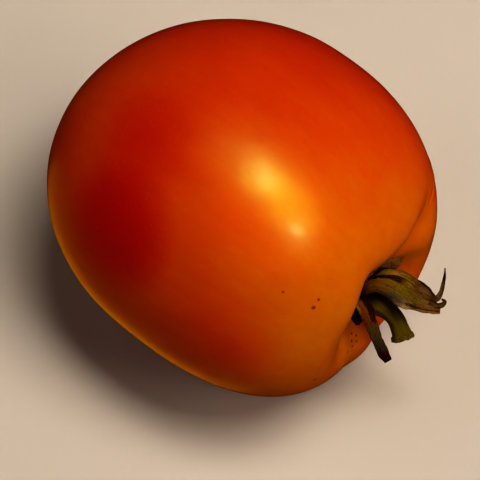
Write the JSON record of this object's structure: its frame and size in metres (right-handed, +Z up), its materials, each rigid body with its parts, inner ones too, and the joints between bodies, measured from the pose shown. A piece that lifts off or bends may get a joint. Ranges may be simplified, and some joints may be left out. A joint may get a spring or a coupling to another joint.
{
  "type": "tomato",
  "caption": "Whole ripe oblong tomato lying on its side, with a sunken stem end, curled calyx leaves and a short cut stem; rests on a small flat spot.",
  "frame": {"origin": "middle of the small flat spot that the tomato rests on, on the surface it lies on", "axes": "+X along the fruit's long axis towards its stem end, +Z up, +Y to the left when looking along +X"},
  "size_m": [0.0947, 0.0774, 0.0724],
  "materials": {
    "tomato_skin": "smooth waxy skin, deep red at the blossom end going to orange at the stem shoulders, with soft wide highlights",
    "stem_green": "matt olive green, finely ridged lengthwise, paler ragged ring at the break",
    "sepal_green": "matt wilted leaf, olive green drying to brown and near black at edges and tips"
  },
  "bodies": {
    "root": {"fruit": "tomato_skin", "stem": "stem_green", "sepal_back": "sepal_green", "sepal_curled": "sepal_green", "sepal_broad": "sepal_green", "sepal_front": "sepal_green", "sepal_shaded": "sepal_green"}
  },
  "joints": []
}
